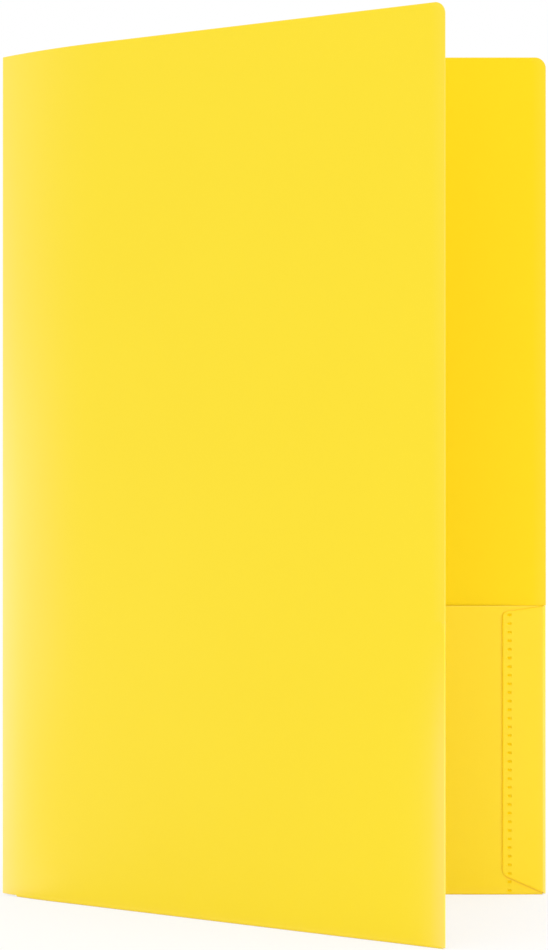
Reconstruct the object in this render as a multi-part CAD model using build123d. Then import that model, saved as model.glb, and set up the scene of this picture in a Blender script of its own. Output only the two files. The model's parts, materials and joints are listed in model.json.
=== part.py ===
from build123d import *
import math
import os

# Two pocket folder of polypropylene sheet, standing ajar on its bottom folds.
# Lengths are in millimetres and angles in degrees.

# Sheet and covers
SHEET = 0.5                # thickness of the sheet
COVER_WIDTH = 239.0        # spine to the cut outer edge
COVER_HEIGHT = 368.3       # bottom fold to the top edge
COVER_CORNER = 5.8         # rounding of the top outer corners
OPEN_ANGLE = 38.0          # between the covers as the folder stands

# Spine
HINGE_RADIUS = 0.8         # inside of the rolled living hinge
HINGE_CLEARANCE = 0.3      # between the covers' hinge edges when the folder lies flat
SPINE_RELIEF = 0.7         # cut edge at the spine, above the bottom folds
SPRING_ANGLE = 16.0        # turn that the front cover takes as it springs off the spine
SPRING_LENGTH = 54.0       # length of that bend at the top edge, where nothing stiffens it

# Pockets
POCKET_HEIGHT = 127.0
POCKET_GAP = 0.8           # room for paper between cover and pocket panel
POCKET_START = 9.0         # hinge axis to the pocket's end at the bottom fold
POCKET_SLANT = 4.0         # how far that end leans away from the spine at the pocket's mouth
POCKET_SPINE_CORNER = 6.0  # rounding at the mouth, spine side
POCKET_SIDE_CORNER = 2.5   # rounding at the mouth, under the side tab
CLOSING_CLEARANCE = 0.4    # between the two pockets when the folder is closed

# Side tabs
TAB_WIDTH = 19.3           # cut outer edge to the tab's inner edge
TAB_TOP_DROP = 2.3         # fall of the tab's top edge from the fold to the inner edge
TAB_FOOT_RISE = 8.0        # rise of the tab's bottom edge from the fold to the inner edge
TAB_CORNER = 2.0           # rounding of the tab's inner corners
LAP_GAP = 0.1              # between the tab and the pocket panel
FOLD_INSET = 0.3           # side fold, inside the cut edge above it
FOLD_CLEARANCE = 0.3       # between the ends of a fold or panel and the sheet beside it

# Weld spots
WELD_LONG = 1.8            # along the folder's width
WELD_TALL = 1.05           # along its height
WELD_PITCH = 3.785
WELD_INSET = 3.1           # tab's inner edge to the middle of the row
WELD_TOP = 4.0             # pocket's mouth to the first spot
WELD_FOOT = 1.6            # least height of the last spot
WELD_BITE = 0.25           # depth of a spot in the pocket panel
WELD_RECESS = 0.2          # depth of a spot below the tab's face

# Depths of one leaf's layers, from the cover's inner face: the outer side is positive
PANEL_BACK = -POCKET_GAP
PANEL_FRONT = PANEL_BACK - SHEET
TAB_BACK = PANEL_FRONT - LAP_GAP
TAB_FRONT = TAB_BACK - SHEET

# Places across one leaf, from the hinge axis
EDGE_X = COVER_WIDTH - HINGE_RADIUS - SHEET
SIDE_RADIUS = -TAB_BACK / 2
SIDE_X = EDGE_X - FOLD_INSET - SHEET - SIDE_RADIUS
PANEL_END = SIDE_X - FOLD_CLEARANCE
TAB_X = EDGE_X - TAB_WIDTH
WELD_X = TAB_X + WELD_INSET

# The bottom fold rolls from the cover to the pocket panel
BOTTOM_RADIUS = POCKET_GAP / 2
FOLD_HEIGHT = BOTTOM_RADIUS + SHEET

# The front cover springs outwards, just far enough to close parallel over both pockets
SPRING = math.radians(SPRING_ANGLE)
HINGE_LEAD = (HINGE_RADIUS + SHEET) * math.sin(SPRING) + HINGE_CLEARANCE
FRONT_OFFSET = CLOSING_CLEARANCE - 2 * TAB_FRONT - HINGE_RADIUS
POCKET_SPRING_RADIUS = HINGE_RADIUS + (FRONT_OFFSET - HINGE_RADIUS) / (1 - math.cos(SPRING))
TOP_SPRING_RADIUS = SPRING_LENGTH / SPRING


def half_ring(centre, radius, start_angle):
    """Section of a rolled fold: half a ring of sheet round its inside radius."""
    inner = CenterArc(centre, radius, start_angle, 180)
    outer = CenterArc(centre, radius + SHEET, start_angle, 180)
    return make_face([inner, Line(inner @ 1, outer @ 1), outer, Line(outer @ 0, inner @ 0)])


def rounded_outline(points, roundings):
    """Closed outline in width and height, with (point, radius) pairs for its round corners."""
    outline = make_face(Polyline(*points, close=True))
    for point, radius in roundings:
        outline = fillet(outline.vertices().sort_by_distance(point)[0], radius)
    return outline


def plate(outline, near, far):
    """Flat panel with an outline in width and height, between two depths."""
    return extrude(Plane.XZ.offset(-far) * outline, amount=far - near)


def cut_to(strip, outline):
    """A flat or bent strip of sheet, trimmed to an outline as a die trims it."""
    return strip & plate(outline, -COVER_WIDTH, COVER_WIDTH)


def block(low, high):
    """Rectangular block between two opposite corners."""
    size = Vector(high) - Vector(low)
    return Pos(Vector(low)) * Box(size.X, size.Y, size.Z, align=(Align.MIN, Align.MIN, Align.MIN))


def spring_centre(radius):
    """Centre of a bend that carries the rolled hinge on without a kink."""
    reach = radius - HINGE_RADIUS
    return Vector(reach * math.sin(SPRING), -FRONT_OFFSET - reach * math.cos(SPRING))


def sprung_section(radius):
    """Plan of the front cover at one height: a bend off the spine, then straight to the edge.

    The straight run is the tangent from the outer edge to the bend.
    """
    centre = spring_centre(radius)
    edge = Vector(EDGE_X, 0)
    span = edge - centre
    slope = math.degrees(math.atan2(span.Y, span.X))
    tangent = slope + math.degrees(math.acos(radius / span.length))
    turn = 90 + SPRING_ANGLE - tangent
    inner = CenterArc(centre, radius, tangent, turn)
    outer = CenterArc(centre, radius + SHEET, tangent, turn)
    outer_edge = Vector(EDGE_X, SHEET / math.sin(math.radians(tangent)))
    return make_face([
        inner,
        Line(inner @ 1, outer @ 1),
        outer,
        Line(outer @ 0, outer_edge),
        Line(outer_edge, edge),
        Line(edge, inner @ 0),
    ])


def cover_foot(start):
    """Bottom of a cover's die line: relieved at the spine, then stepped in at both folds."""
    slit = POCKET_START - FOLD_CLEARANCE
    return [(start, SPINE_RELIEF), (slit, SPINE_RELIEF), (slit, FOLD_HEIGHT), (SIDE_X, FOLD_HEIGHT)]


def back_cover():
    """Flat cover from the hinge's edge to the outer edge, round at its top corner."""
    corner = (EDGE_X, COVER_HEIGHT)
    sides = [(SIDE_X, POCKET_HEIGHT), (EDGE_X, POCKET_HEIGHT), corner, (HINGE_LEAD, COVER_HEIGHT)]
    outline = rounded_outline(cover_foot(HINGE_LEAD) + sides, [(corner, COVER_CORNER)])
    return plate(outline, 0, SHEET)


def front_cover():
    """Cover that bows off the spine: a short bend along the pocket, growing towards the top."""
    short_bend = sprung_section(POCKET_SPRING_RADIUS)
    long_bend = sprung_section(TOP_SPRING_RADIUS)
    sides = [(SIDE_X, COVER_HEIGHT), (-COVER_WIDTH, COVER_HEIGHT)]
    outline = make_face(Polyline(*cover_foot(-COVER_WIDTH), *sides, close=True))
    beside_pocket = cut_to(extrude(short_bend, amount=POCKET_HEIGHT), outline)
    above = loft(
        [Pos(0, 0, POCKET_HEIGHT) * short_bend, Pos(0, 0, COVER_HEIGHT) * long_bend], ruled=True,
    )
    corner = above.edges().sort_by_distance((EDGE_X, SHEET / 2, COVER_HEIGHT))[0]
    return beside_pocket + fillet(corner, COVER_CORNER)


def pocket_outline():
    """Die line of a pocket panel: slanted at the spine, with round corners at its mouth."""
    spine_corner = (POCKET_START + POCKET_SLANT, POCKET_HEIGHT)
    side_corner = (PANEL_END, POCKET_HEIGHT)
    points = [(POCKET_START, FOLD_HEIGHT), (PANEL_END, FOLD_HEIGHT), side_corner, spine_corner]
    return rounded_outline(
        points,
        [(spine_corner, POCKET_SPINE_CORNER), (side_corner, POCKET_SIDE_CORNER)],
    )


def sprung_layer(near, far):
    """Strip of sheet that follows the front cover's bend beside the pocket, between two depths."""
    centre = spring_centre(POCKET_SPRING_RADIUS)
    inner = CenterArc(centre, POCKET_SPRING_RADIUS + near, 90, SPRING_ANGLE)
    outer = CenterArc(centre, POCKET_SPRING_RADIUS + far, 90, SPRING_ANGLE)
    plan = make_face([
        inner,
        Line(inner @ 1, outer @ 1),
        outer,
        Line(outer @ 0, (EDGE_X, far)),
        Line((EDGE_X, far), (EDGE_X, near)),
        Line((EDGE_X, near), inner @ 0),
    ])
    return extrude(plan, amount=POCKET_HEIGHT)


def weld_heights():
    """Heights of the weld spots, from the pocket's mouth down."""
    count = math.floor((POCKET_HEIGHT - WELD_TOP - WELD_FOOT) / WELD_PITCH) + 1
    return [POCKET_HEIGHT - WELD_TOP - index * WELD_PITCH for index in range(count)]


def tab_foot():
    """Height of the tab's sloping bottom edge at the weld row's inner side."""
    inner_side = WELD_X - WELD_LONG / 2
    return FOLD_HEIGHT + TAB_FOOT_RISE * (SIDE_X - inner_side) / (SIDE_X - TAB_X)


def tab_weld_heights():
    """Heights of the spots that the tab covers: the row runs on past its sloping foot."""
    return [height for height in weld_heights() if height - WELD_TALL / 2 > tab_foot()]


def weld_blocks(heights, near, far):
    """One block for each weld spot, between two depths."""
    left, right = WELD_X - WELD_LONG / 2, WELD_X + WELD_LONG / 2
    return [
        block((left, near, height - WELD_TALL / 2), (right, far, height + WELD_TALL / 2))
        for height in heights
    ]


def pocket(strip):
    """Pocket panel with the pits of the weld row in its face."""
    pits = weld_blocks(weld_heights(), TAB_FRONT, PANEL_FRONT + WELD_BITE)
    return cut_to(strip, pocket_outline()) - pits


def side_tab():
    """Tab laid over the pocket panel, with a window for each weld spot."""
    inner_top = (TAB_X, POCKET_HEIGHT - TAB_TOP_DROP)
    inner_foot = (TAB_X, FOLD_HEIGHT + TAB_FOOT_RISE)
    points = [(SIDE_X, FOLD_HEIGHT), (SIDE_X, POCKET_HEIGHT), inner_top, inner_foot]
    outline = rounded_outline(points, [(inner_top, TAB_CORNER), (inner_foot, TAB_CORNER)])
    windows = weld_blocks(tab_weld_heights(), TAB_FRONT - SHEET, PANEL_FRONT)
    return plate(outline, TAB_FRONT, TAB_BACK) - windows


def weld_spots():
    """Row of melted spots between the tab and the pocket panel, sunk below the tab's face."""
    return Compound(weld_blocks(
        tab_weld_heights(), TAB_FRONT + WELD_RECESS, PANEL_FRONT + WELD_BITE,
    ))


def side_fold():
    """Rolled crease along the outer edge, from the cover round the pocket panel to the tab."""
    ring = half_ring(Vector(SIDE_X, -SIDE_RADIUS), SIDE_RADIUS, -90)
    return extrude(Pos(0, 0, FOLD_HEIGHT) * ring, amount=POCKET_HEIGHT - FOLD_HEIGHT)


def bottom_fold(bend_x):
    """Rolled crease along the bottom; before bend_x it follows the front cover's bend."""
    start = max(bend_x, POCKET_START)
    ring = Plane.YZ.offset(start) * half_ring(Vector(-BOTTOM_RADIUS, FOLD_HEIGHT), BOTTOM_RADIUS, 180)
    fold = extrude(ring, amount=PANEL_END - start)
    if start > POCKET_START:
        centre = spring_centre(POCKET_SPRING_RADIUS)
        reach = (start - POCKET_START) / (POCKET_SPRING_RADIUS - BOTTOM_RADIUS)
        fold += revolve(ring, Axis(centre, (0, 0, 1)), math.degrees(math.asin(reach)))
    return fold


def spine_hinge():
    """Living hinge: the sheet rolled from the back cover round to the front cover."""
    wrap = 180 - OPEN_ANGLE - SPRING_ANGLE
    inner = CenterArc((0, 0), HINGE_RADIUS, 90, wrap)
    outer = CenterArc((0, 0), HINGE_RADIUS + SHEET, 90, wrap)
    lead_inner = (HINGE_LEAD, HINGE_RADIUS)
    lead_outer = (HINGE_LEAD, HINGE_RADIUS + SHEET)
    section = make_face([
        inner,
        Line(inner @ 1, outer @ 1),
        outer,
        Line(outer @ 0, lead_outer),
        Line(lead_outer, lead_inner),
        Line(lead_inner, inner @ 0),
    ])
    return extrude(Pos(0, 0, SPINE_RELIEF) * section, amount=COVER_HEIGHT - SPINE_RELIEF)


def on_back(piece):
    """A leaf's piece in its place on the back leaf, with the hinge axis at the origin."""
    return Pos(0, HINGE_RADIUS, 0) * piece


def on_front(piece):
    """A leaf's piece, mirrored into the front leaf and swung open."""
    closed = mirror(Pos(0, FRONT_OFFSET, 0) * piece, Plane.XZ)
    return Rot(0, 0, -OPEN_ANGLE) * closed


def build_folder():
    """All pieces by name, with the hinge axis at the origin."""
    bend_x = spring_centre(POCKET_SPRING_RADIUS).X
    flat_layer = block((0, PANEL_FRONT, 0), (EDGE_X, PANEL_BACK, POCKET_HEIGHT))
    bent_layer = sprung_layer(PANEL_FRONT, PANEL_BACK)
    return {
        "back_cover": on_back(back_cover()),
        "back_bottom_fold": on_back(bottom_fold(0)),
        "back_pocket": on_back(pocket(flat_layer)),
        "back_side_fold": on_back(side_fold()),
        "back_side_tab": on_back(side_tab()),
        "back_weld_spots": on_back(weld_spots()),
        "spine_hinge": spine_hinge(),
        "front_cover": on_front(front_cover()),
        "front_bottom_fold": on_front(bottom_fold(bend_x)),
        "front_pocket": on_front(pocket(bent_layer)),
        "front_side_fold": on_front(side_fold()),
        "front_side_tab": on_front(side_tab()),
        "front_weld_spots": on_front(weld_spots()),
    }


def main():
    """Build the folder, put its origin under the middle of its box and write each piece."""
    pieces = build_folder()
    box = Compound(list(pieces.values())).bounding_box()
    origin = Vector(box.center().X, box.center().Y, box.min.Z)
    os.makedirs("parts", exist_ok=True)
    for name, piece in pieces.items():
        export_step(Pos(-origin) * piece, os.path.join("parts", name + ".step"))
    print("size", box.size)
    print("hinge axis", -origin)


main()
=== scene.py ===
"""Looks of a two pocket folder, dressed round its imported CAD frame.

The folder is one die-cut plastic sheet, creased, folded and welded. Each leaf is worked out flat, as
depths over a width and a height, and its carrier then bends it off the spine and swings it about the
hinge axis. Lengths are in metres, in the frame that the CAD model uses.
"""

import json
import logging
import math
from dataclasses import dataclass, replace
from enum import Enum
from typing import Any

import bpy
import numpy as np
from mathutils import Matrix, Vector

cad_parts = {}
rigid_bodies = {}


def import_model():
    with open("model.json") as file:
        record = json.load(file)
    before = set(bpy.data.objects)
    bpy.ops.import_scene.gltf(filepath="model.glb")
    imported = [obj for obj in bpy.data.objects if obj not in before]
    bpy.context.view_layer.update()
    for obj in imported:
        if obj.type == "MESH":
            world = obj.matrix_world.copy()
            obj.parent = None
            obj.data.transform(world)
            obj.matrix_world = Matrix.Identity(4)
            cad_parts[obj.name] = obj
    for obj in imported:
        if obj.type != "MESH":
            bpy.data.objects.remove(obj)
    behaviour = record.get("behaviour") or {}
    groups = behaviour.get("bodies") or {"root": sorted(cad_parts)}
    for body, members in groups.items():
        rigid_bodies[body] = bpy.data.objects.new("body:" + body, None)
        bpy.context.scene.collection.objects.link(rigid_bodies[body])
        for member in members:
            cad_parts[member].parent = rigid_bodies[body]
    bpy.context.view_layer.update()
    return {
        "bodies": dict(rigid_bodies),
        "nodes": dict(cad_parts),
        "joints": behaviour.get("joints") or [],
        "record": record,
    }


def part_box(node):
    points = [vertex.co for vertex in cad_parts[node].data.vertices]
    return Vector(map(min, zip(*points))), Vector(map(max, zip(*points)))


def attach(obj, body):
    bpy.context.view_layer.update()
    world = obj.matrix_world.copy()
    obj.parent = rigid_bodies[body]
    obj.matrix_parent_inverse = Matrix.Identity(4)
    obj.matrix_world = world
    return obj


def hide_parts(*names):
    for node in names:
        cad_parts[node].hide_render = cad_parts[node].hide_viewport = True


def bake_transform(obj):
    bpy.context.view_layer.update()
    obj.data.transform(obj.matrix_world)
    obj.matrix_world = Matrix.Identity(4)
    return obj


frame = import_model()

Array = np.ndarray
Tree = bpy.types.NodeTree
Pair = tuple[float, float]
Colour = tuple[float, float, float]
LOG = logging.getLogger("folder")

PHOTO_HEIGHT = 950
SHARP_ANGLE = math.radians(42.0)
SAME_PLACE = 2e-6
FAR = 1.0


class Side(Enum):
    """The two leaves of the folder."""

    BACK = "back"
    FRONT = "front"

    @property
    def body(self) -> str:
        """Name of the CAD body that this leaf rides on."""
        return f"{self.value}_leaf"


class Edge(Enum):
    """How one side of a sheet ends."""

    CUT = "cut"
    JOINED = "joined"


class Slot(Enum):
    """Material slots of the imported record."""

    SHEET = "polypropylene_sheet"
    WELD = "polypropylene_weld"


BOTH_CUT = (Edge.CUT, Edge.CUT)
MOUTH_BOW = {Side.BACK: 0.0006, Side.FRONT: 0.0002}


# Shapes as whole arrays


def smooth_step(value: Array, low: float, high: float) -> Array:
    """Rise from 0 at low to 1 at high along 3t2 - 2t3, level at both ends."""
    share = np.clip((value - low) / (high - low), 0.0, 1.0)
    return share * share * (3.0 - 2.0 * share)


def bell(value: Array, width: Array | float) -> Array:
    """Bell curve exp(-(v / w)2) of a value, 1 at its middle."""
    return np.exp(-((value / width) ** 2))


def fade(distance: Array, width: float) -> Array:
    """Exponential fall exp(-d / w) from 1 on a line, with the distance beside it."""
    return np.exp(-np.maximum(distance, 0.0) / width)


def corner_setback(run: Array, radius: float) -> Array:
    """Step of a corner, a quarter circle: the radius at a side's end and 0 one radius before it."""
    inside = np.clip(radius - run, 0.0, radius)
    return radius - np.sqrt(radius * radius - inside * inside)


def rungs(origin: float, step: float, first: int, last: int, power: float = 1.0) -> Array:
    """Places at a step times whole numbers from the first to the last, each to a power."""
    return origin + step * np.arange(first, last + 1) ** power


@dataclass(frozen=True)
class Stock:
    """The sheet that the whole folder is cut from; a cut edge's pale band and painted highlight reach a
    count of its roundings.
    """

    thickness: float
    rounding: float = 0.00009
    edge_blush_reach: float = 3.0

    @property
    def half(self) -> float:
        """Half of the thickness."""
        return self.thickness / 2.0

    def half_at(self, distance: Array) -> Array:
        """Half thickness at a distance from a cut edge, where a quarter circle rounds both faces."""
        return self.half - corner_setback(distance, self.rounding)

    def cut_whitening_and_highlight(self, distance: Array) -> Array:
        """Mask of the cut edge's pale band, whitening with a painted highlight: a bell curve of the
        distance.
        """
        return bell(distance, self.edge_blush_reach * self.rounding)


def stations(
    stock: Stock,
    low: float,
    high: float,
    *fine: Array,
    spacing: float,
    ends: tuple[Edge, Edge] = (Edge.JOINED, Edge.JOINED),
    corners: Pair = (0.0, 0.0),
) -> Array:
    """Places along one side of a sheet, closer together on the quarter circles of edges and corners.

    Args:
        stock: Sheet whose edge rounding is sampled.
        low: Where the side starts.
        high: Where it ends.
        fine: More places, of which those between low and high are taken.
        spacing: Usual distance between places.
        ends: How the side starts and ends.
        corners: Radii of the rounded corners at its start and end.

    Returns:
        The places in order.
    """
    quarter = 1.0 - np.sin(np.radians(np.linspace(0.0, 80.0, 11)))
    offsets = stock.rounding * np.append(1.0 - np.cos(np.radians([0.0, 30.0, 60.0, 90.0])), stock.edge_blush_reach)
    places = [np.linspace(low, high, max(round((high - low) / spacing), 1) + 1)]
    for end, inwards, edge, corner in zip((low, high), (1.0, -1.0), ends, corners):
        places.append(end + inwards * corner * quarter)
        if edge is Edge.CUT:
            places.append(end + inwards * offsets)
    places += [group[(group > low) & (group < high)] for group in fine]
    every = np.unique(np.concatenate(places))
    every = every[np.append(True, np.diff(every) > SAME_PLACE)]
    every[-1] = high
    return every


def fit_ends(
    base: Array, low: Array | float, high: Array, low_reach: float, high_reach: float,
) -> Array:
    """Move the ends of a line of places onto an outline, with a shift that dies away inside.

    Each place moves by the shift of the nearer end times a smooth step of its distance from that end.

    Args:
        base: Places along the line.
        low: Where the line starts on the outline, one for each row or for all.
        high: Where it ends, one for each row.
        low_reach: Distance over which the start's shift dies away.
        high_reach: Distance over which the end's shift dies away.

    Returns:
        Places on each row.
    """
    guard = 0.0004
    head = 1.0 - smooth_step(base, base[0] + guard, base[0] + low_reach)
    tail = smooth_step(base, base[-1] - high_reach, base[-1] - guard)
    return base + (low - base[0]) * head + (high - base[-1]) * tail


@dataclass
class Sheet:
    """A closed sheet as two faces over one grid, in the leaf's flat layout.

    face_a is the outer side of the raw sheet and face_b its inner side. Both are arrays of width,
    depth and height. The masks paint colour: paler plastic along die-cut edges, whitening with a
    painted highlight, and along creases, whitening with painted sheen beside the spine and side fold;
    and, face by face, painted shade: 1 where light would bounce between two layers of sheet, and 2
    for the painted shadow under an edge.
    """

    face_a: Array
    face_b: Array
    cut: Array | float = 0.0
    crease: Array | float = 0.0
    shade_a: Array | float = 0.0
    shade_b: Array | float = 0.0


def grid_quads(grid: Array) -> Array:
    """Quads between the points of a grid of point numbers, row by row."""
    corners = (grid[:-1, :-1], grid[:-1, 1:], grid[1:, 1:], grid[1:, :-1])
    return np.stack(corners, axis=-1).reshape(-1, 4)


def sheet_faces(rows: int, columns: int) -> tuple[Array, Array]:
    """Quads of one closed sheet: both faces and the wall round their rim.

    Args:
        rows: Grid rows of each face.
        columns: Grid columns of each face.

    Returns:
        Corner numbers of every quad, and 0 for a quad of face A or the wall, 1 for face B.
    """
    count = rows * columns
    grid = np.arange(count).reshape(rows, columns)
    face = grid_quads(grid)
    rim = np.concatenate([grid[0, :-1], grid[:-1, -1], grid[-1, :0:-1], grid[:0:-1, 0]])
    wall = np.stack([np.roll(rim, -1), rim, rim + count, np.roll(rim, -1) + count], axis=-1)
    inner = np.repeat([0, 1, 0], [len(face), len(face), len(wall)])
    return np.concatenate([face, face[:, ::-1] + count, wall]), inner.astype(np.int32)


def enclosed_volume(points: Array, quads: Array) -> float:
    """Volume inside a closed mesh: the sum of signed tetrahedra on its quads' triangles."""
    first, second, third, fourth = np.moveaxis(points[quads], 1, 0)
    return float((first * (np.cross(second, third) + np.cross(third, fourth))).sum() / 6.0)


def closed_mesh(name: str, sheet: Sheet) -> bpy.types.Mesh:
    """Mesh of one closed sheet, or of a row of them stacked on the arrays' first axis.

    Args:
        name: Name of the mesh.
        sheet: Its faces, already in the row frame.

    Returns:
        A smooth mesh with its faces outwards and its masks as attributes.
    """
    shape = sheet.face_a.shape[:-1]
    rows, columns = shape[-2:]
    faces = [face.reshape(-1, rows * columns, 3) for face in (sheet.face_a, sheet.face_b)]
    count = len(faces[0])
    points = np.concatenate(faces, axis=1).reshape(-1, 3)
    quads, inner = sheet_faces(rows, columns)
    starts = np.arange(count)[:, None, None] * (2 * rows * columns)
    quads = (quads + starts).reshape(-1, 4)
    if enclosed_volume(points - points.mean(axis=0), quads) < 0.0:
        quads = quads[:, ::-1]
    mesh = bpy.data.meshes.new(name)
    mesh.from_pydata(points.tolist(), [], quads.tolist(), shade_flat=False)
    mesh.polygons.foreach_set("material_index", np.tile(inner, count))
    # Masks: paler cut edges with a painted highlight, creases whitened with painted sheen, and painted
    # shade.
    masks = {
        "cut": (sheet.cut, sheet.cut),
        "crease": (sheet.crease, sheet.crease),
        "shade": (sheet.shade_a, sheet.shade_b),
    }
    for label, sides in masks.items():
        flat = [np.broadcast_to(mask, shape).reshape(count, -1) for mask in sides]
        attribute = mesh.attributes.new(label, "FLOAT", "POINT")
        attribute.data.foreach_set("value", np.concatenate(flat, axis=1).astype(np.float32).ravel())
    mesh.set_sharp_from_angle(angle=SHARP_ANGLE)
    return mesh


# Sizes and the way each leaf stands


@dataclass(frozen=True)
class FolderSizes:
    """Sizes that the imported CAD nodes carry; widths run from the hinge axis along a leaf."""

    hinge_x: float
    hinge_y: float
    hinge_radius: float
    hinge_lead: float
    open_angle: float
    spine_relief: float
    edge_x: float
    height: float
    fold_height: float
    pocket_start: float
    panel_end: float
    pocket_height: float
    pocket_gap: float
    side_x: float
    tab_x: float
    lap_gap: float
    weld_x: float
    weld_long: float
    weld_low: float
    weld_high: float

    @classmethod
    def from_frame(cls, loaded: dict[str, Any]) -> "FolderSizes":
        """Read the sizes from the frame's boxes and its joint.


        Returns:
            The sizes in metres and radians.
        """
        joint = loaded["joints"][0]
        hinge_x, hinge_y = joint["pos_m"][:2]
        cover_low, cover_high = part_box("back_cover")
        fold_low, fold_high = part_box("back_bottom_fold")
        panel_low, panel_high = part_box("back_pocket")
        side_low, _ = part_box("back_side_fold")
        tab_low, tab_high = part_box("back_side_tab")
        weld_low, weld_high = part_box("back_weld_spots")
        return cls(
            hinge_x=hinge_x,
            hinge_y=hinge_y,
            hinge_radius=cover_low.y - hinge_y,
            hinge_lead=cover_low.x - hinge_x,
            open_angle=math.radians(-joint["range_deg"][0]),
            spine_relief=cover_low.z,
            edge_x=cover_high.x - hinge_x,
            height=cover_high.z,
            fold_height=fold_high.z,
            pocket_start=fold_low.x - hinge_x,
            panel_end=fold_high.x - hinge_x,
            pocket_height=panel_high.z,
            pocket_gap=cover_low.y - panel_high.y,
            side_x=side_low.x - hinge_x,
            tab_x=tab_low.x - hinge_x,
            lap_gap=panel_low.y - tab_high.y,
            weld_x=(weld_low.x + weld_high.x) / 2.0 - hinge_x,
            weld_long=weld_high.x - weld_low.x,
            weld_low=weld_low.z,
            weld_high=weld_high.z,
        )


@dataclass(frozen=True)
class Carrier:
    """Takes a leaf's flat layout into the row frame.

    The cover's inner face is the graph depth = bow(width, height). A point at some depth stands off
    that graph along its normal. The front leaf is then mirrored and swung open about the hinge.
    """

    side: Side
    sizes: FolderSizes
    front_offset: float = 0.0034
    spring_angle: float = math.radians(12.0)
    spring_power: Pair = (3.2, 2.0)
    bulge: float = 0.0050
    soft_start: float = 0.15
    ripple: float = 0.00009
    ripple_start: float = 0.060
    ripple_waves: tuple[float, float, float] = (31.0, 9.0, 23.0)
    ripple_phases: Pair = (0.7, 1.9)
    slope_step: float = 0.00002
    # Paler band beside the spine, hinge whitening with painted sheen; then a bell of painted sheen on
    # the front cover.
    hinge_width: float = 0.009
    hinge_blush: float = 0.84
    hinge_ease: float = 0.85
    painted_sheen_x: float = 0.024
    painted_sheen_width: float = 0.017
    painted_sheen_reach: Pair = (0.055, 0.120)
    painted_sheen_blush: float = 0.17

    def spine_point(self) -> Pair:
        """Width and depth at which the front cover's inner face leaves the rolled hinge."""
        radius, turn = self.sizes.hinge_radius, self.spring_angle
        return -radius * math.sin(turn), radius * math.cos(turn) - self.front_offset

    def climb(self, z: Array) -> Array:
        """Share of the spring: a ramp t + sqrt(t2 + e2) over its top value, t from mouth to top."""
        share = (z - self.sizes.pocket_height) / (self.sizes.height - self.sizes.pocket_height)
        return (share + np.hypot(share, self.soft_start)) / (1.0 + math.hypot(1.0, self.soft_start))

    def bow(self, x: Array, z: Array) -> Array:
        """Depth of the cover's inner face over the leaf's plane.

        On the front leaf it is a straight fall from the bulge to the outer edge, less a spring
        (1 - s / l)^p that starts at the spine and has died away at l. Both leaves have a faint ripple
        of crossed sines, which only leans inwards.

        Args:
            x: Widths from the hinge axis.
            z: Heights.

        Returns:
            Depths, outwards positive.
        """
        across, slant, up = self.ripple_waves
        wave = np.sin(x * across + z * slant + self.ripple_phases[0])
        wave = wave * np.sin(z * up + self.ripple_phases[1])
        ripple = 0.5 * self.ripple * smooth_step(x, 0.0, self.ripple_start) * (1.0 + wave)
        if self.side is Side.BACK:
            return -ripple
        start_x, start_y = self.spine_point()
        span = self.sizes.edge_x - start_x
        climb = self.climb(z)
        bulge = self.bulge * climb
        low, high = self.spring_power
        power = low + (high - low) * climb
        swing = bulge - start_y
        length = power * swing / (math.tan(self.spring_angle) + bulge / span)
        spring = np.maximum(1.0 - (x - start_x) / length, 0.0) ** power
        fall = 1.0 - (x - start_x) / span
        return bulge * fall - swing * spring - ripple

    def hinge_strain_and_sheen(self, x: Array, z: Array) -> Array:
        """Crease mask beside the spine: whitening of the hinge, and painted sheen where the cover
        curves away.

        It dies away exponentially and eases where the cover springs. The front cover also has a faint
        bell of painted sheen where its bow begins, at the height of the pocket's mouth.

        Args:
            x: Widths from the hinge axis.
            z: Heights.

        Returns:
            The mask.
        """
        hold = self.hinge_blush * (1.0 - self.hinge_ease * self.climb(z))
        strain_and_sheen = hold * fade(x, self.hinge_width)
        if self.side is Side.BACK:
            return strain_and_sheen
        rise = z - self.sizes.pocket_height
        painted_sheen = bell(rise, np.where(rise < 0.0, *self.painted_sheen_reach))
        return strain_and_sheen + self.painted_sheen_blush * painted_sheen * bell(x - self.painted_sheen_x, self.painted_sheen_width)

    def carry(self, flat: Array) -> Array:
        """Place points of the flat layout in the row frame.

        Args:
            flat: Widths, depths and heights on the last axis.

        Returns:
            Points in the row frame, of the same shape.
        """
        x, depth, z = np.moveaxis(flat, -1, 0)
        step = self.slope_step
        slope = (self.bow(x + step, z) - self.bow(x - step, z)) / (2.0 * step)
        length = np.sqrt(1.0 + slope * slope)
        along = x - depth * slope / length
        across = self.bow(x, z) + depth / length
        if self.side is Side.BACK:
            row_x, row_y = along, across + self.sizes.hinge_radius
        else:
            closed = -(across + self.front_offset)
            cos, sin = math.cos(self.sizes.open_angle), math.sin(self.sizes.open_angle)
            row_x, row_y = along * cos + closed * sin, closed * cos - along * sin
        return np.stack([row_x + self.sizes.hinge_x, row_y + self.sizes.hinge_y, z], axis=-1)


# Finishes


def feed(node: Any, inputs: dict[Any, Any]) -> None:
    """Give a node's inputs their values or links.

    Args:
        node: Node to feed.
        inputs: A number, a colour or an output socket for each input's name or number.
    """
    for label, value in inputs.items():
        socket = node.inputs[label]
        if isinstance(value, bpy.types.NodeSocket):
            node.id_data.links.new(value, socket)
        else:
            socket.default_value = (*value, 1.0) if isinstance(value, tuple) else value


def add_node(tree: Tree, kind: str, inputs: dict[Any, Any], **options: Any) -> Any:
    """Add a shader node.

    Args:
        tree: Tree to add it to.
        kind: Blender's name of its type, without the prefix.
        inputs: What to feed its inputs.
        options: Its other settings.

    Returns:
        The new node.
    """
    node = tree.nodes.new(f"ShaderNode{kind}")
    for option, value in options.items():
        setattr(node, option, value)
    feed(node, inputs)
    return node


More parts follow.
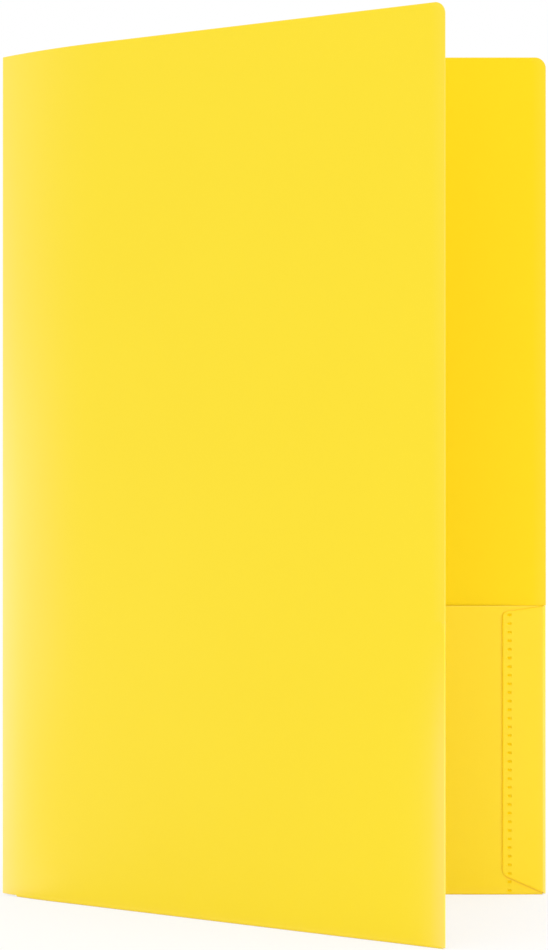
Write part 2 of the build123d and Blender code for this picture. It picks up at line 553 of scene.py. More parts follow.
def math_node(tree: Tree, operation: str, *values: Any) -> Any:
    """Output of a new Math node, fed numbers or sockets in turn."""
    return add_node(tree, "Math", dict(enumerate(values)), operation=operation).outputs[0]


def colour_mix(tree: Tree, factor: Any, first: Any, second: Any) -> Any:
    """Colour output of a new Mix node: first up to a mask of 0, second from a mask of 1 on."""
    return add_node(tree, "Mix", {0: factor, 6: first, 7: second}, data_type="RGBA").outputs[2]


class EffectGroup:
    """An effect that finishes share: a node group, built once, whose nodes each effect wires."""

    NAME: str
    SOCKETS: tuple[tuple[str, str, str], ...]

    @classmethod
    def tree(cls) -> Tree:
        """Build the group, or find it.

        Returns:
            The group, with the sockets that the class lists.
        """
        if cls.NAME in bpy.data.node_groups:
            return bpy.data.node_groups[cls.NAME]
        tree = bpy.data.node_groups.new(cls.NAME, "ShaderNodeTree")
        for label, way, kind in cls.SOCKETS:
            tree.interface.new_socket(label, in_out=way, socket_type=f"NodeSocket{kind}")
        inlet = tree.nodes.new("NodeGroupInput").outputs
        feed(tree.nodes.new("NodeGroupOutput"), cls.wire(tree, inlet))
        return tree

    @classmethod
    def wire(cls, tree: Tree, inlet: Any) -> dict[str, Any]:
        """Wire the nodes and give the output sockets, each effect in its own way."""
        raise NotImplementedError


class PressedGrain(EffectGroup):
    """The fine grain that a roller presses into the sheet, and its slow mottle."""

    NAME = "pressed_grain"
    SOCKETS = (("Size", "INPUT", "Float"), ("Height", "OUTPUT", "Float"), ("Mottle", "OUTPUT", "Float"))
    SAND_SCALE = 1.7

    @classmethod
    def wire(cls, tree: Tree, inlet: Any) -> dict[str, Any]:
        """Wire the grain as the mean of smooth pebbles and fine noise, and the mottle as wide noise.

        Args:
            tree: The group.
            inlet: The group's input sockets.

        Returns:
            Sockets of the outputs Height and Mottle.
        """
        place = add_node(tree, "TexCoord", {}).outputs["Object"]
        scale = math_node(tree, "DIVIDE", 1.0, inlet["Size"])
        inputs = {"Vector": place, "Scale": scale, "Smoothness": 0.7}
        pebbles = add_node(tree, "TexVoronoi", inputs, feature="SMOOTH_F1")
        finer = math_node(tree, "MULTIPLY", scale, cls.SAND_SCALE)
        sand = add_node(tree, "TexNoise", {"Vector": place, "Scale": finer, "Detail": 2.0})
        domes = math_node(tree, "SUBTRACT", 1.0, pebbles.outputs["Distance"])
        both = math_node(tree, "ADD", domes, sand.outputs["Fac"])
        cloud = add_node(tree, "TexNoise", {"Vector": place, "Scale": 14.0, "Detail": 4.0})
        return {"Height": math_node(tree, "MULTIPLY", both, 0.5), "Mottle": cloud.outputs["Fac"]}


class EdgeBlush(EffectGroup):
    """Paler plastic along cut edges and creases, whitening with painted highlight and sheen, and
    painted shade in deeper colours.
    """

    NAME = "edge_blush"
    SOCKETS = (
        *((label, "INPUT", "Color") for label in ("Color", "Rich", "Drop", "Pale")),
        *((label, "INPUT", "Float") for label in ("Cut", "Crease")),
        ("Color", "OUTPUT", "Color"),
    )

    @classmethod
    def wire(cls, tree: Tree, inlet: Any) -> dict[str, Any]:
        """Wire the colour through the painted shade and shadow colours by the shade mask, then Pale by
        the cut and crease masks.

        Args:
            tree: The group.
            inlet: The group's input sockets.

        Returns:
            Socket of the output Color.
        """
        cut, crease, shade = (
            add_node(tree, "Attribute", {}, attribute_name=label).outputs["Fac"]
            for label in ("cut", "crease", "shade")
        )
        cut = math_node(tree, "MULTIPLY", cut, inlet["Cut"])
        mask = math_node(tree, "MULTIPLY_ADD", crease, inlet["Crease"], cut)
        # Painted shade: deeper colours where light would bounce between layers, and a painted shadow
        # where the mask passes 1.
        shaded = colour_mix(tree, shade, inlet["Color"], inlet["Rich"])
        painted_drop_share = math_node(tree, "SUBTRACT", shade, 1.0)
        shaded = colour_mix(tree, painted_drop_share, shaded, inlet["Drop"])
        return {"Color": colour_mix(tree, mask, shaded, inlet["Pale"])}


@dataclass(frozen=True)
class PlasticFinish:
    """Finish of one side of the sheet, or of its melted spots.

    Colours are linear. The mottle shifts the colour and the roughness a little from place to place.
    """

    name: str
    colour: Colour
    deep: Colour
    roughness: float
    specular: float
    grain_size: float
    grain_depth: float
    cut_amount: float = 0.4
    crease_amount: float = 1.0
    # Deeper colours of painted shade and a painted shadow; pale plastic for whitening, also standing in
    # as painted highlight and sheen.
    painted_shade: Colour = (0.995, 0.715, 0.0)
    painted_drop_shadow: Colour = (0.87, 0.575, 0.0)
    pale: Colour = (0.965, 0.73, 0.16)
    roughness_spread: float = 0.06

    def material(self) -> bpy.types.Material:
        """Build the material, or find it.

        Returns:
            A Principled material with grain, mottle, paler edges and creases that carry painted
            highlight and sheen, and painted shade.
        """
        if self.name in bpy.data.materials:
            return bpy.data.materials[self.name]
        material = bpy.data.materials.new(self.name)
        material.use_nodes = True
        tree = material.node_tree
        group = PressedGrain.tree()
        grain = add_node(tree, "Group", {"Size": self.grain_size}, node_tree=group).outputs
        inputs = {
            "Color": colour_mix(tree, grain["Mottle"], self.deep, self.colour),
            "Rich": self.painted_shade,
            "Drop": self.painted_drop_shadow,
            "Pale": self.pale,
            "Cut": self.cut_amount,
            "Crease": self.crease_amount,
        }
        blush = add_node(tree, "Group", inputs, node_tree=EdgeBlush.tree())
        bump = add_node(tree, "Bump", {"Distance": self.grain_depth, "Height": grain["Height"]})
        drift = math_node(tree, "MULTIPLY_ADD", grain["Mottle"], self.roughness_spread, self.roughness)
        inputs = {
            "Base Color": blush.outputs["Color"],
            "Roughness": drift,
            "Specular IOR Level": self.specular,
            "Normal": bump.outputs["Normal"],
        }
        feed(tree.nodes["Principled BSDF"], inputs)
        return material


SATIN_FACE = PlasticFinish(
    name="satin_outer_face",
    colour=(0.946, 0.728, 0.004),
    deep=(0.938, 0.712, 0.003),
    roughness=0.31,
    specular=0.44,
    grain_size=0.0005,
    grain_depth=0.000012,
)
MATT_FACE = PlasticFinish(
    name="matt_inner_face",
    colour=(0.945, 0.715, 0.003),
    deep=(0.936, 0.70, 0.002),
    # Painted shade on the inner face, lighter than on the outer face.
    painted_shade=(0.995, 0.765, 0.0),
    roughness=0.40,
    specular=0.20,
    grain_size=0.0004,
    grain_depth=0.000010,
    crease_amount=0.4,
)
MELTED_SPOT = PlasticFinish(
    name="melted_spot",
    colour=(0.93, 0.65, 0.001),
    deep=(0.90, 0.61, 0.001),
    roughness=0.30,
    specular=0.08,
    grain_size=0.0009,
    grain_depth=0.000008,
)
FINISHES = {Slot.SHEET: (SATIN_FACE, MATT_FACE), Slot.WELD: (MELTED_SPOT, MELTED_SPOT)}


def add_piece(name: str, sheet: Sheet, node: str, slot: Slot = Slot.SHEET) -> bpy.types.Object:
    """Make a piece that stands for a CAD node.

    Args:
        name: Name of the piece.
        sheet: Its faces, in the row frame.
        node: CAD node that it replaces.
        slot: The record's slot for its finish.

    Returns:
        The new object, at the origin.
    """
    piece = bpy.data.objects.new(name, closed_mesh(name, sheet))
    bpy.context.scene.collection.objects.link(piece)
    for finish in FINISHES[slot]:
        piece.data.materials.append(finish.material())
    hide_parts(node)
    LOG.info("%s stands for %s: %d faces", name, node, len(piece.data.polygons))
    return piece


# Sub-assemblies


@dataclass(frozen=True)
class WeldRow:
    """The row of melted spots that fixes a side tab to its pocket panel."""

    sizes: FolderSizes
    tall: float = 0.00105
    pitch: float = 0.003785
    pit: float = 0.00040
    wall: Pair = (0.76, 1.10)
    rim: float = 0.00004
    ridge: float = 1.25
    ridge_width: float = 0.16
    recess: float = 0.00032
    dome: float = 0.00012
    root: float = 0.00012
    pad_share: float = 0.93
    spill: int = 2

    @property
    def top(self) -> float:
        """Height of the first spot's middle."""
        return self.sizes.weld_high - self.tall / 2.0

    @property
    def count(self) -> int:
        """Number of spots that the tab covers."""
        return round((self.sizes.weld_high - self.sizes.weld_low - self.tall) / self.pitch) + 1

    def reach(self, x: Array, z: Array, first: int, last: int) -> Array:
        """Distance to the nearest spot of a stretch of the row, in spot sizes.

        Each spot is a superellipse, |u|^4 + |v|^4 = 1, where u and v are the offsets from its middle
        over its half sizes.

        Args:
            x: Widths from the hinge axis.
            z: Heights.
            first: Number of the stretch's first spot, from the top.
            last: Number of its last spot.

        Returns:
            1 on a spot's outline, less inside it.
        """
        nearest = np.clip(np.round((self.top - z) / self.pitch), first, last)
        across = (x - self.sizes.weld_x) / (self.sizes.weld_long / 2.0)
        along = (z - self.top + nearest * self.pitch) / (self.tall / 2.0)
        return (across**4 + along**4) ** 0.25

    def dimple(self, reach: Array) -> Array:
        """Depth pressed in at a reach, in spot sizes: a flat pit with soft walls and a rim of melt."""
        pit = self.pit * (1.0 - smooth_step(reach, *self.wall))
        return pit - self.rim * bell(reach - self.ridge, self.ridge_width)

    def pads(self, tab: float, panel: float) -> Sheet:
        """Melted pads in the pits, each a low dome over a superellipse.

        The dome's height is (1 - u2)(1 - v2) of its full height.

        Args:
            tab: Depth of the tab's face round its spots.
            panel: Depth of the pocket panel's face round the spots that miss the tab.

        Returns:
            All pads in the leaf's flat layout, stacked on the first axis.
        """
        u, v = np.meshgrid(np.linspace(-1.0, 1.0, 9), np.linspace(-1.0, 1.0, 7))
        squeeze = np.maximum(np.abs(u), np.abs(v)) / np.maximum((u**4 + v**4) ** 0.25, 1e-9)
        number = np.arange(self.count + self.spill)[:, None, None]
        face = np.where(number < self.count, tab, panel)
        x = self.sizes.weld_x + 0.5 * self.sizes.weld_long * self.pad_share * u * squeeze
        z = self.top - number * self.pitch + 0.5 * self.tall * self.pad_share * v * squeeze
        crown = face + self.recess - self.dome * (1.0 - u * u) * (1.0 - v * v)
        top = np.stack(np.broadcast_arrays(x, crown, z), axis=-1)
        under = top.copy()
        under[..., 1] = face + self.pit + self.root
        return Sheet(top, under)


@dataclass(frozen=True)
class Leaf:
    """One leaf: its cover, the pocket folded up inside it, and the side tab welded over that."""

    side: Side
    sizes: FolderSizes
    stock: Stock
    carrier: Carrier
    welds: WeldRow
    mouth_bow: float
    bow_start: Pair = (0.030, 0.110)
    bow_fade: float = 0.036
    cover_corner: float = 0.0048
    step_run: float = 0.0001
    pocket_slant: float = 0.004
    pocket_spine_corner: float = 0.006
    pocket_side_corner: float = 0.0025
    tab_drop: float = 0.0028
    tab_rise: float = 0.008
    tab_corner: float = 0.002
    tab_lift: float = 0.00004
    tab_lift_width: float = 0.002
    tab_bevel: float = 0.00060
    tab_slope: float = 0.20
    # Reach of the painted shade beside the tab and of the painted shadow under its foot.
    tab_shadow: float = 0.00065
    foot_shadow: float = 0.00115
    fold_clearance: float = 0.0003
    side_roll: float = 0.00085
    side_lean: float = 0.55
    side_foot: float = 0.0004
    squeeze: float = 0.00058
    squeeze_width: float = 0.024
    crease_width: float = 0.0011
    crease_blush: float = 0.145
    # Paler band beside the side fold: whitening with painted sheen, most near the foot.
    strain_and_sheen_width: float = 0.0045
    strain_and_sheen_blush: float = 0.62
    strain_and_sheen_shares: Pair = (0.45, 1.05)
    # Reach of the painted shade above the pocket's mouth, and its loss towards the side fold.
    shade_reach: float = 0.0020
    shade_loss: float = 0.75

    def build(self) -> None:
        """Build every piece of the leaf, from the cover inwards, and let each ride on the leaf."""
        row = np.array(self.sizes.weld_x)
        panel = float(-self.gap(row) - self.stock.thickness)
        pieces = {
            "cover": ("cover_sheet", self.cover()),
            "bottom_fold": ("bottom_fold_roll", self.bottom_fold()),
            "pocket": ("pocket_panel", self.pocket()),
            "side_fold": ("side_fold_roll", self.side_fold()),
            "side_tab": ("side_tab_flap", self.side_tab()),
            "weld_spots": ("weld_pads", self.welds.pads(float(self.tab_face(row)), panel)),
        }
        carry, leaf = self.carrier.carry, self.side.value
        for node, (label, sheet) in pieces.items():
            carried = replace(sheet, face_a=carry(sheet.face_a), face_b=carry(sheet.face_b))
            slot = Slot.WELD if node == "weld_spots" else Slot.SHEET
            piece = add_piece(f"{leaf}_{label}", carried, f"{leaf}_{node}", slot)
            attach(piece, self.side.body)

    def flat_sheet(
        self, x: Array, z: Array, middle: Array, distance: Array, crease: Array, outward: float,
    ) -> Sheet:
        """Sheet of even thickness about a middle depth, rounded at its cut edges.

        Args:
            x: Widths on the grid.
            z: Heights on the grid.
            middle: Middle depths on the grid.
            distance: Distances to the nearest cut edge.
            crease: Crease mask on the grid.
            outward: 1 where face A looks away from the other leaf, -1 where it looks towards it.

        Returns:
            The sheet in the leaf's flat layout.
        """
        half = self.stock.half_at(distance) * outward
        face_a = np.stack([x, middle + half, z], axis=-1)
        face_b = np.stack([x, middle - half, z], axis=-1)
        return Sheet(face_a, face_b, self.stock.cut_whitening_and_highlight(distance), crease)

    def near(self, distance: Array) -> Array:
        """Crease mask beside a fold line."""
        return self.crease_blush * fade(distance, self.crease_width)

    def strain_and_sheen(self, x: Array, z: Array) -> Array:
        """Crease mask of the cover beside its side fold, which strains the sheet most near the foot:
        whitening there, with painted sheen.
        """
        hold = 1.0 - smooth_step(z / self.sizes.pocket_height, *self.strain_and_sheen_shares)
        return self.strain_and_sheen_blush * hold * fade(self.sizes.side_x - x, self.strain_and_sheen_width)

    def mouth_shade(self, x: Array, z: Array) -> Array:
        """Painted shade of the cover above the pocket's mouth: a bell curve, narrower towards the side
        fold.
        """
        loss = self.shade_loss * smooth_step(x, self.sizes.tab_x - self.bow_fade, self.sizes.side_x)
        return bell(np.maximum(z - self.sizes.pocket_height, 0.0), self.shade_reach * (1.0 - loss))

    def gap(self, x: Array) -> Array:
        """Room between cover and pocket panel, pressed closer towards the side fold."""
        start = self.sizes.side_x - self.squeeze_width
        return self.sizes.pocket_gap - self.squeeze * smooth_step(x, start, self.sizes.side_x)

    def tab_outline(self, x: Array) -> tuple[Array, Array]:
        """Heights of the tab's foot and top: straight slants, rounded by quarter circles inside.

        Args:
            x: Widths from the hinge axis.

        Returns:
            Foot and top.
        """
        size = self.sizes
        outermost = size.side_x + self.side_roll + self.stock.thickness
        slant = (outermost - x) / (outermost - size.tab_x)
        foot = self.side_foot + (size.fold_height + self.tab_rise - self.side_foot) * slant
        corner = corner_setback(x - size.tab_x, self.tab_corner)
        return foot + corner, size.pocket_height - self.tab_drop * slant - corner

    def tab_shade(self, x: Array, z: Array) -> Array:
        """Painted shade of the panel beside the tab.

        It is a bell curve of the distance outside the tab's outline, doubled into a painted shadow, and
        wider, under its foot.

        Args:
            x: Widths from the hinge axis.
            z: Heights.

        Returns:
            The mask, up to 1 beside the tab and 2 under its foot.
        """
        start = self.sizes.tab_x
        foot, top = self.tab_outline(x)
        away = np.maximum(np.maximum.reduce([start - x, foot - z, z - top]), 0.0)
        inside = smooth_step(x, start, start + self.tab_corner)
        under = inside * smooth_step(foot - z, -self.tab_corner, 0.0)
        reach = self.tab_shadow + (self.foot_shadow - self.tab_shadow) * under
        return (1.0 + under) * bell(away, reach)

    def tab_face(self, x: Array) -> Array:
        """Depth of the tab's free face, its inner edge lifting a little off the panel."""
        lift = self.tab_lift * np.exp(-(x - self.sizes.tab_x) / self.tab_lift_width)
        return -self.gap(x) - 2.0 * self.stock.thickness - self.sizes.lap_gap - lift

    def cover(self) -> Sheet:
        """Cover panel: rows from the foot to the top, each from the hinge to the outer edge.

        The outer edge steps in at the side fold below the pocket's mouth and follows a quarter circle
        at the top corner. The foot is higher where the bottom fold carries on from it.

        Returns:
            The cover in the leaf's flat layout.
        """
        size = self.sizes
        start = size.hinge_lead if self.side is Side.BACK else self.carrier.spine_point()[0]
        columns = stations(
            self.stock, start, size.edge_x, rungs(start, 0.00035, 1, 55, power=1.35),
            spacing=0.006, ends=(Edge.JOINED, Edge.CUT),
        )
        level = stations(
            self.stock, size.fold_height, size.height,
            size.pocket_height + self.step_run * np.linspace(0.0, 1.0, 5),
            rungs(size.fold_height, 0.0004, 1, 11, power=1.5),
            rungs(size.pocket_height, 0.0003, 1, 14),
            spacing=0.005, ends=BOTH_CUT, corners=(0.0, self.cover_corner),
        )[:, None]
        opened = smooth_step(level, size.pocket_height, size.pocket_height + self.step_run)
        right = size.side_x + (size.edge_x - size.side_x) * opened
        right = right - corner_setback(size.height - level, self.cover_corner)
        x = fit_ends(columns, start, right, low_reach=0.020, high_reach=0.020)
        hung = smooth_step(x, size.pocket_start - 2.0 * self.fold_clearance, size.pocket_start)
        foot = size.spine_relief + (size.fold_height - size.spine_relief) * hung
        reach = np.clip((size.height - level) / (size.height - size.fold_height), 0.0, 1.0)
        z = level - (size.fold_height - foot) * reach
        free = np.where(opened > 0.5, right - x, FAR)
        below = np.where(hung < 0.5, z - foot, FAR)
        distance = np.minimum.reduce([size.height - z, free, below])
        # Paler bands beside the side fold and the spine: whitening with painted sheen.
        strain_and_sheen = self.strain_and_sheen(x, z) + self.carrier.hinge_strain_and_sheen(x, z)
        crease = np.maximum(self.near(z - foot) * hung, strain_and_sheen)
        sheet = self.flat_sheet(x, z, np.full_like(x, self.stock.half), distance, crease, 1.0)
        # Painted shade on the inner face above the pocket's mouth.
        sheet.shade_b = self.mouth_shade(x, z)
        return sheet

    def bottom_fold(self) -> Sheet:
        """Rolled crease along the foot: a half ring of sheet carried along the width.

        Returns:
            The roll in the leaf's flat layout.
        """
        size = self.sizes
        x = stations(
            self.stock, size.pocket_start, size.side_x, rungs(size.pocket_start, 0.0012, 1, 23),
            spacing=0.006, ends=BOTH_CUT,
        )
        turn = np.linspace(0.0, math.pi, 25)[:, None]
        distance = np.minimum(x - size.pocket_start, size.side_x - x)
        inner = self.gap(x) / 2.0
        half = self.stock.half_at(distance)
        middle = inner + self.stock.half
        outer = middle + self.stock.half

        def ring(radius: Array) -> Array:
            """Surface of the roll at one radius round its centre line."""
            height = size.fold_height - radius * np.sin(turn) * size.fold_height / outer
            return np.stack(np.broadcast_arrays(x, radius * np.cos(turn) - inner, height), axis=-1)

        cut, crease = self.stock.cut_whitening_and_highlight(distance), self.crease_blush * np.sin(turn) ** 0.5
        # Painted shade on the roll's underside.
        return Sheet(ring(middle + half), ring(middle - half), cut, crease, shade_a=np.sin(turn) ** 2)

    def pocket(self) -> Sheet:
        """Pocket panel: rows from the bottom fold to the mouth, bowed a little off the cover.

        The bow grows with the square of the height and dies away towards the side tab. The end at the
        spine slants, and both corners of the mouth are quarter circles.

        Returns:
            The panel in the leaf's flat layout.
        """
        size = self.sizes
        columns = stations(
            self.stock, size.pocket_start, size.panel_end,
            rungs(size.weld_x, 0.00012, -11, 11),
            rungs(size.tab_x, 0.0002, -7, 9),
            rungs(size.tab_x, 0.0007, 3, 27),
            rungs(size.pocket_start, 0.0012, 1, 23),
            spacing=0.004, ends=BOTH_CUT,
        )
        z = stations(
            self.stock, size.fold_height, size.pocket_height, rungs(size.fold_height, 0.00016, 1, 75),
            spacing=0.0035, ends=(Edge.JOINED, Edge.CUT), corners=(0.0, self.pocket_spine_corner),
        )[:, None]
        rise = (z - size.fold_height) / (size.pocket_height - size.fold_height)
        down = size.pocket_height - z
        left = size.pocket_start + self.pocket_slant * rise
        left = left + corner_setback(down, self.pocket_spine_corner)
        right = size.panel_end - corner_setback(down, self.pocket_side_corner)
        x = fit_ends(columns, left, right, low_reach=0.045, high_reach=0.010)
        z = np.broadcast_to(z, x.shape)
        distance = np.minimum(np.minimum(x - left, right - x), down)
        stand = 1.0 - smooth_step(x, size.tab_x - self.bow_fade, size.tab_x)
        stand = smooth_step(x, *self.bow_start) * stand
        bow = self.mouth_bow * stand * np.clip(rise, 0.0, 1.0) ** 2
        middle = -self.gap(x) - self.stock.half - bow
        sheet = self.flat_sheet(x, z, middle, distance, self.near(z - size.fold_height), -1.0)
        first = self.welds.count
        marks = self.welds.reach(x, z, first, first + self.welds.spill - 1)
        sheet.face_a[..., 1] += self.welds.dimple(marks)
        # Painted shade beside the tab and a painted shadow under its foot.
        sheet.shade_a = self.tab_shade(x, z)
        return sheet

    def side_fold(self) -> Sheet:
        """Pressed crease along the outer edge: a flattened half ring carried up the height.

        The ring's depth is a cosine of its turn, and its width the sine of a turn that runs ahead,
        pi (t / pi)^lean, so the cover stays flat out to the crease and the tab's side slopes back.
        Its ends are level on the cover's side and slanted as the tab is on the other.

        Returns:
            The roll in the leaf's flat layout.
        """
        size = self.sizes
        rows = stations(self.stock, self.side_foot, size.pocket_height, spacing=0.004, ends=BOTH_CUT)
        share = ((rows - rows[0]) / (rows[-1] - rows[0]))[:, None]
        turn = math.pi * np.linspace(0.0, 1.0, 33) ** 1.6
        reach = np.sin(math.pi * (turn / math.pi) ** self.side_lean)
        level = np.arange(turn.size) < np.argmax(reach)
        peak = self.side_roll + self.stock.thickness
        foot, top = self.tab_outline(size.side_x + peak * np.where(level, 1.0, reach))
        z = foot + (top - foot) * share
        distance = np.minimum(z - foot, top - z)
        half = self.stock.half_at(distance)
        inner = (-self.tab_face(np.array(size.side_x)) - self.stock.thickness) / 2.0
        bend, roll = inner + self.stock.half, self.side_roll + self.stock.half

        def ring(off: Array) -> Array:
            """Surface of the roll at some distance off its middle line."""
            depth = (bend + off) * np.cos(turn) - inner
            return np.stack([size.side_x + (roll + off) * reach, depth, z], axis=-1)

        # Whitening beside the side fold, with its painted sheen.
        strain_and_sheen = self.strain_and_sheen(np.array(size.side_x), z)
        crease = np.maximum(self.crease_blush * np.sin(turn) ** 0.5, strain_and_sheen)
        return Sheet(ring(half), ring(-half), self.stock.cut_whitening_and_highlight(distance), crease)

    def side_tab(self) -> Sheet:
        """Side tab: columns from its inner edge to the side fold, between two slanted ends.

        Its corners are quarter circles, its face falls off straight along the cut edge, and every weld
        spot is pressed into it.

        Returns:
            The tab in the leaf's flat layout.
        """
        size = self.sizes
        x = stations(
            self.stock, size.tab_x, size.side_x,
            rungs(size.weld_x, 0.00011, -13, 13),
            rungs(size.tab_x, self.tab_bevel, 1, 1),
            spacing=0.0012, ends=(Edge.CUT, Edge.JOINED), corners=(self.tab_corner, 0.0),
        )[:, None]
        height = size.pocket_height
        rows = stations(self.stock, 0.0, height, spacing=0.00023, ends=BOTH_CUT)
        foot, top = self.tab_outline(x)
        z = foot + (top - foot) * (rows / height)
        x = np.broadcast_to(x, z.shape)
        distance = np.minimum.reduce([x - size.tab_x, top - z, z - foot])
        middle = self.tab_face(x) + self.stock.half
        sheet = self.flat_sheet(x, z, middle, distance, self.near(size.side_x - x), -1.0)
        sheet.cut = 0.0
        reach = self.welds.reach(x, z, 0, self.welds.count - 1)
        slope = np.clip(1.0 - distance / self.tab_bevel, 0.0, 1.0)
        sheet.face_a[..., 1] += self.welds.dimple(reach) + self.tab_slope * self.tab_bevel * slope
        # Painted shade on the tab's falling bevel along its cut edge.
        sheet.shade_a = 1.0 - smooth_step(distance, 0.5 * self.tab_bevel, self.tab_bevel)
        return sheet


@dataclass(frozen=True)
class Spine:
    """The living hinge: sheet rolled about the hinge axis from the back cover to the front cover."""

    sizes: FolderSizes
    stock: Stock
    carrier: Carrier
    turns: int = 56
    lead_steps: int = 4

    def section(self, off: Array) -> Array:
        """Plan of the strip at some distance off its middle line: a flat lead, then an arc.

        Args:
            off: Distances off the middle line, outwards positive, one for each row.

        Returns:
            Widths and depths in the row frame, one row for each distance.
        """
        size = self.sizes
        radius = size.hinge_radius + self.stock.half + off[:, None]
        wrap = math.pi - size.open_angle - self.carrier.spring_angle
        angle = math.pi / 2.0 + np.linspace(0.0, wrap, self.turns)
        lead = np.linspace(size.hinge_lead, 0.0, self.lead_steps + 1)[:-1]
        arc = np.stack([radius * np.cos(angle), radius * np.sin(angle)], axis=-1)
        flat = np.stack(np.broadcast_arrays(lead, radius), axis=-1)
        return np.concatenate([flat, arc], axis=1) + (size.hinge_x, size.hinge_y)

    def build(self) -> None:
        """Build the strip, rolled between the leaves as they stand open."""
        size = self.sizes
        z = stations(self.stock, size.spine_relief, size.height, spacing=0.0075, ends=BOTH_CUT)
        distance = np.minimum(z - size.spine_relief, size.height - z)
        half = self.stock.half_at(distance)

        def face(off: Array) -> Array:
            """One face of the strip in the row frame."""
            plan = self.section(off)
            return np.dstack([plan, np.broadcast_to(z[:, None], plan.shape[:2])])

        cut = self.stock.cut_whitening_and_highlight(distance)[:, None]
        # Hinge whitening with painted sheen along the spine.
        crease = self.carrier.hinge_strain_and_sheen(np.zeros(1), z)[:, None]
        strip = Sheet(face(half), face(-half), cut, crease)
        piece = add_piece("spine_roll", strip, "spine_hinge")
        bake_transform(piece)


# Studio


@dataclass(frozen=True)
class Lamp:
    """A soft box: a rectangle of light that faces a point of the folder."""

    name: str
    azimuth: float
    height: float
    distance: float
    width: float
    tall: float
    radiance: float
    gloss_only: bool = False
    aim_height: float = 0.18
    aim_share: float = 0.0

    def build(self) -> None:
        """Add the lamp. Azimuth 0 is the camera's side, and left is positive."""
        turn = math.radians(self.azimuth)
        away = self.distance * np.array([-math.sin(turn), -math.cos(turn), 0.0])
        place = away + (0.0, 0.0, self.height)
        target = self.aim_share * away + (0.0, 0.0, self.aim_height)
        data = bpy.data.lights.new(self.name, "AREA")
        data.shape = "RECTANGLE"
        data.size, data.size_y = self.width, self.tall
        data.energy = self.radiance * math.pi * self.width * self.tall
        lamp = bpy.data.objects.new(self.name, data)
        lamp.visible_camera = False
        lamp.visible_diffuse = not self.gloss_only
        bpy.context.scene.collection.objects.link(lamp)
        gaze = target - place
        tilt = math.atan2(math.hypot(gaze[0], gaze[1]), -gaze[2])
        lamp.location = place.tolist()
        lamp.rotation_euler = (tilt, 0.0, math.atan2(gaze[1], gaze[0]) - math.pi / 2.0)


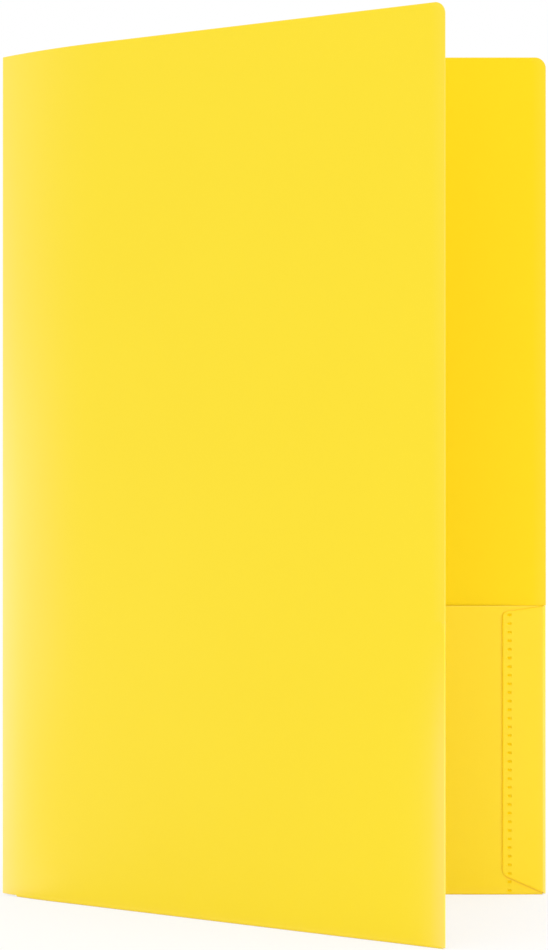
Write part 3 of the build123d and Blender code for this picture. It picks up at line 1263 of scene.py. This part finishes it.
@dataclass(frozen=True)
class Studio:
    """White studio: floor, soft boxes, surrounding light and the camera of the photograph."""

    focal_pixels: float = 2890.4
    sensor_width: float = 36.0
    camera_place: tuple[float, float, float] = (0.0047, -1.1975, 0.1817)
    camera_tilt: float = -0.0022
    camera_turn: float = 0.0038
    floor_size: float = 8.0
    floor_points: int = 9
    floor_white: float = 0.93
    floor_roughness: float = 0.9
    floor_near: float = 0.16
    floor_far: float = 0.55
    floor_fade: float = 0.72
    lamps: tuple[Lamp, ...] = (
        Lamp("top_box", 0.0, 1.60, 0.3, 1.2, 1.2, 0.91),
        Lamp("side_box", -50.0, 0.05, 0.45, 0.2, 0.1, 4.57, aim_height=0.05),
        Lamp("tall_strip", 117.0, 0.45, 1.0, 0.8, 0.9, 0.72, gloss_only=True),
        Lamp("low_strip", 108.0, 0.08, 0.55, 0.3, 0.3, 1.12, gloss_only=True),
        Lamp("floor_glow", 117.0, 0.0006, 0.418, 0.3, 0.5, 1.13, gloss_only=True, aim_share=1.0),
    )

    def build(self) -> None:
        """Add everything that isn't the folder."""
        self.light_surround()
        self.lay_floor()
        for lamp in self.lamps:
            lamp.build()
        self.set_camera()
        bpy.context.scene.view_settings.view_transform = "Standard"

    def light_surround(self) -> None:
        """White all round, at the level that renders as white."""
        world = bpy.data.worlds.new("white_room")
        bpy.context.scene.world = world
        world.use_nodes = True
        feed(world.node_tree.nodes["Background"], {"Color": (1.0, 1.0, 1.0), "Strength": 1.0})

    def lay_floor(self) -> None:
        """Lay a pale floor that keeps the shadow near the folder and fades to white further out."""
        count = self.floor_points
        place = np.linspace(-self.floor_size / 2.0, self.floor_size / 2.0, count)
        x, y = np.meshgrid(place, place)
        points = np.stack([x, y, np.zeros_like(x)], axis=-1).reshape(-1, 3)
        quads = grid_quads(np.arange(count * count).reshape(count, count))
        mesh = bpy.data.meshes.new("floor")
        mesh.from_pydata(points.tolist(), [], quads.tolist())
        floor = bpy.data.objects.new("floor", mesh)
        bpy.context.scene.collection.objects.link(floor)
        mesh.materials.append(self.floor_material())

    def floor_material(self) -> bpy.types.Material:
        """Pale matt floor, mixed towards plain white with the distance from the folder.

        Only rays that show it, from the camera, by gloss or through glass, see the white.

        Returns:
            The floor's material.
        """
        material = bpy.data.materials.new("pale_floor")
        material.use_nodes = True
        tree = material.node_tree
        shader = tree.nodes["Principled BSDF"]
        inputs = {
            "Base Color": (self.floor_white,) * 3,
            "Roughness": self.floor_roughness,
            "Specular IOR Level": 0.0,
        }
        feed(shader, inputs)
        place = add_node(tree, "TexCoord", {}).outputs["Object"]
        inputs = {
            "Value": add_node(tree, "VectorMath", {0: place}, operation="LENGTH").outputs["Value"],
            "From Min": self.floor_near,
            "From Max": self.floor_far,
            "To Min": self.floor_fade,
        }
        fading = add_node(tree, "MapRange", inputs, interpolation_type="SMOOTHSTEP")
        rays = add_node(tree, "LightPath", {}).outputs
        seen = math_node(tree, "MAXIMUM", rays["Is Camera Ray"], rays["Is Glossy Ray"])
        seen = math_node(tree, "MAXIMUM", seen, rays["Is Transmission Ray"])
        share = math_node(tree, "MULTIPLY", fading.outputs["Result"], seen)
        white = add_node(tree, "Emission", {})
        mix = add_node(tree, "MixShader", {0: share, 1: shader.outputs[0], 2: white.outputs[0]})
        feed(tree.nodes["Material Output"], {"Surface": mix.outputs[0]})
        return material

    def set_camera(self) -> None:
        """Set the camera opposite the back cover, at the photograph's distance."""
        data = bpy.data.cameras.new("camera")
        data.sensor_width = self.sensor_width
        data.lens = self.focal_pixels / PHOTO_HEIGHT * self.sensor_width
        camera = bpy.data.objects.new("camera", data)
        bpy.context.scene.collection.objects.link(camera)
        camera.location = self.camera_place
        camera.rotation_euler = (math.pi / 2.0 - self.camera_tilt, 0.0, self.camera_turn)
        bpy.context.scene.camera = camera


def main() -> None:
    """Build the spine, both leaves and the studio, in that order."""
    logging.basicConfig(level=logging.INFO, format="%(name)s: %(message)s")
    sizes = FolderSizes.from_frame(frame)
    low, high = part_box("back_cover")
    stock = Stock(thickness=high.y - low.y)
    welds = WeldRow(sizes)
    carriers = {side: Carrier(side, sizes) for side in Side}
    Spine(sizes, stock, carriers[Side.FRONT]).build()
    for side in Side:
        Leaf(side, sizes, stock, carriers[side], welds, MOUTH_BOW[side]).build()
    Studio().build()


if __name__ == "__main__":
    main()
